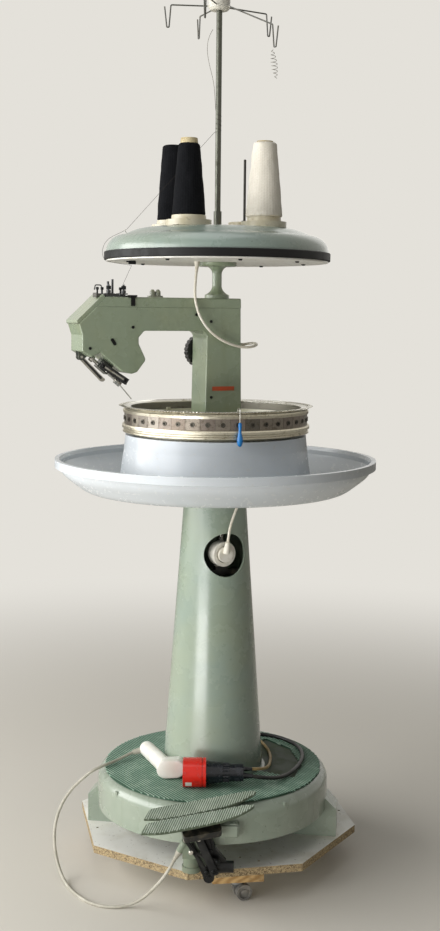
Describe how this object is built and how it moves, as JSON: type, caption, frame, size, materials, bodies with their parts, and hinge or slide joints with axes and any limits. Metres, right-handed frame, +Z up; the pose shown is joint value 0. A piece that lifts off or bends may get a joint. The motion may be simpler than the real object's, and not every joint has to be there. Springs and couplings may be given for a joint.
{
  "type": "linking machine",
  "caption": "Dial linking machine on a tapered column, with needle head, yarn disc, work tray, foot control and wheeled board.",
  "frame": {"origin": "floor level, on the axis of the column and the dial", "axes": "+Z up, +X to the operator's right, -Y towards the operator"},
  "size_m": [0.7388, 0.7388, 2.002],
  "materials": {
    "board": "white laminate",
    "pine": "sawn pine",
    "zinc": "zinc plated",
    "caster_fork": "pressed steel",
    "caster_wheel": "grey plastic",
    "green_enamel": "gloss enamel",
    "mat": "ribbed rubber",
    "cream_plastic": "moulded plastic",
    "dark_metal": "black",
    "bright_steel": "ground steel",
    "screw_steel": "dark steel",
    "tray_plastic": "vacuum formed plastic",
    "cream_enamel": "cream enamel",
    "drum_metal": "machined casting",
    "brass": "worn brass",
    "blue_plastic": "blue plastic",
    "needle_iron": "dark casting",
    "oil_cap_black": "dark paint",
    "wheel_black": "black",
    "band_rubber": "black rubber",
    "under_white": "white lacquer",
    "pad_cream": "pale yellow plastic",
    "yarn": "wound yarn",
    "pedal_green": "ribbed rubber on metal",
    "plug_red": "moulded plastic",
    "cord_grey": "rubber sheath",
    "cord_black": "rubber sheath",
    "cord_tan": "rubber sheath",
    "cord_white": "plastic sheath"
  },
  "bodies": {
    "machine": {"dolly_board": "board", "dolly_blocks": "pine", "caster_plates": "zinc", "base_casting": "green_enamel", "column": "green_enamel", "head_casting": "green_enamel", "head_covers": "green_enamel", "pillar": "green_enamel", "yarn_disc": "green_enamel", "base_mat": "mat", "column_socket": "cream_plastic", "socket_plug": "cream_plastic", "pedal_cord_plug": "cream_plastic", "drive_motor": "dark_metal", "pedal_linkage": "dark_metal", "thread_tension": "bright_steel", "mast": "bright_steel", "thread_guide": "bright_steel", "cone_spindles": "bright_steel", "head_fittings": "bright_steel", "fabric_tray": "tray_plastic", "dial_skirt": "tray_plastic", "inner_pan": "cream_enamel", "dial_bearing": "cream_enamel", "needle_guide": "needle_iron", "oil_caps": "oil_cap_black", "disc_band": "band_rubber", "disc_underplate": "under_white", "cone_stand": "pad_cream", "yarn_cones": "yarn", "pedal_base": "pedal_green", "mains_plug": "plug_red", "pedal_cord": "cord_grey", "mains_cord": "cord_black", "link_cord": "cord_tan", "head_cord": "cord_white", "socket_cord": "cord_white"},
    "dial": {"dial_drum": "drum_metal", "dial_rings": "brass", "dial_points": "bright_steel", "segment_plates": "bright_steel", "segment_screws": "screw_steel", "hook_tool": "blue_plastic"},
    "shaft_across": {"handwheel": "wheel_black", "main_shaft": "bright_steel"},
    "shaft_upright": {"drive_shaft": "bright_steel"},
    "needle": {"needle_bar": "bright_steel"},
    "rocker": {"rocker_bar": "bright_steel"},
    "nut_1": {"tension_nut_1": "bright_steel"},
    "nut_2": {"tension_nut_2": "bright_steel"},
    "left_pedal": {"pedal_left": "pedal_green"},
    "right_pedal": {"pedal_right": "pedal_green"},
    "swivel_1": {"caster_fork_1": "caster_fork"},
    "wheel_1": {"caster_wheel_1": "caster_wheel"},
    "swivel_2": {"caster_fork_2": "caster_fork"},
    "wheel_2": {"caster_wheel_2": "caster_wheel"},
    "swivel_3": {"caster_fork_3": "caster_fork"},
    "wheel_3": {"caster_wheel_3": "caster_wheel"},
    "swivel_4": {"caster_fork_4": "caster_fork"},
    "wheel_4": {"caster_wheel_4": "caster_wheel"}
  },
  "joints": [
    {"name": "dial_spin", "type": "hinge", "parent": "machine", "child": "dial", "pos_m": [0, 0, 1.05], "axis": [0, 0, 1], "continuous": true},
    {"name": "handwheel_spin", "type": "hinge", "parent": "machine", "child": "shaft_across", "pos_m": [-0.01289, -0.00547, 1.213], "axis": [-0.3907, 0.9205, 0], "continuous": true},
    {"name": "drive_spin", "type": "hinge", "parent": "machine", "child": "shaft_upright", "pos_m": [0.01473, 0.00625, 0.8], "axis": [0, 0, 1], "continuous": true},
    {"name": "needle_slide", "type": "slide", "parent": "machine", "child": "needle", "axis": [0.6999, 0.2971, -0.6495], "range_m": [0, 0.012]},
    {"name": "rocker_swing", "type": "hinge", "parent": "machine", "child": "rocker", "pos_m": [-0.29824, -0.1266, 1.2025], "axis": [-0.3907, 0.9205, 0], "range_deg": [-6, 4]},
    {"name": "tension_nut_1_turn", "type": "hinge", "parent": "machine", "child": "nut_1", "pos_m": [-0.23612, -0.12195, 1.354], "axis": [0, 0, 1], "continuous": true},
    {"name": "tension_nut_2_turn", "type": "hinge", "parent": "machine", "child": "nut_2", "pos_m": [-0.20454, -0.10421, 1.354], "axis": [0, 0, 1], "continuous": true},
    {"name": "left_pedal_press", "type": "hinge", "parent": "machine", "child": "left_pedal", "pos_m": [-0.0324, -0.29539, 0.21885], "axis": [-0.2281, 0.9134, 0.3372], "range_deg": [0, 4], "stiffness_Nm_per_rad": 20, "springref_deg": -6.88},
    {"name": "right_pedal_press", "type": "hinge", "parent": "machine", "child": "right_pedal", "pos_m": [-0.0324, -0.29539, 0.21885], "axis": [-0.2281, 0.9134, 0.3372], "range_deg": [0, 4], "stiffness_Nm_per_rad": 20, "springref_deg": -6.88},
    {"name": "caster_1_swivel", "type": "hinge", "parent": "machine", "child": "swivel_1", "pos_m": [0.056, -0.214, 0.045], "axis": [0, 0, 1], "continuous": true},
    {"name": "caster_1_roll", "type": "hinge", "parent": "swivel_1", "child": "wheel_1", "pos_m": [0.06916, -0.20921, 0.018], "axis": [-0.342, 0.9397, 0], "continuous": true},
    {"name": "caster_2_swivel", "type": "hinge", "parent": "machine", "child": "swivel_2", "pos_m": [-0.262, 0.042, 0.045], "axis": [0, 0, 1], "continuous": true},
    {"name": "caster_2_roll", "type": "hinge", "parent": "swivel_2", "child": "wheel_2", "pos_m": [-0.24988, 0.035, 0.018], "axis": [0.5, 0.866, 0], "continuous": true},
    {"name": "caster_3_swivel", "type": "hinge", "parent": "machine", "child": "swivel_3", "pos_m": [0.276, 0.06, 0.045], "axis": [0, 0, 1], "continuous": true},
    {"name": "caster_3_roll", "type": "hinge", "parent": "swivel_3", "child": "wheel_3", "pos_m": [0.26453, 0.05197, 0.018], "axis": [0.5736, -0.8192, 0], "continuous": true},
    {"name": "caster_4_swivel", "type": "hinge", "parent": "machine", "child": "swivel_4", "pos_m": [0.03, 0.29, 0.045], "axis": [0, 0, 1], "continuous": true},
    {"name": "caster_4_roll", "type": "hinge", "parent": "swivel_4", "child": "wheel_4", "pos_m": [0.03122, 0.27605, 0.018], "axis": [0.9962, 0.0872, 0], "continuous": true}
  ],
  "couplings": [
    {"joint": "handwheel_spin", "follows": "drive_spin", "ratio": 1}
  ]
}
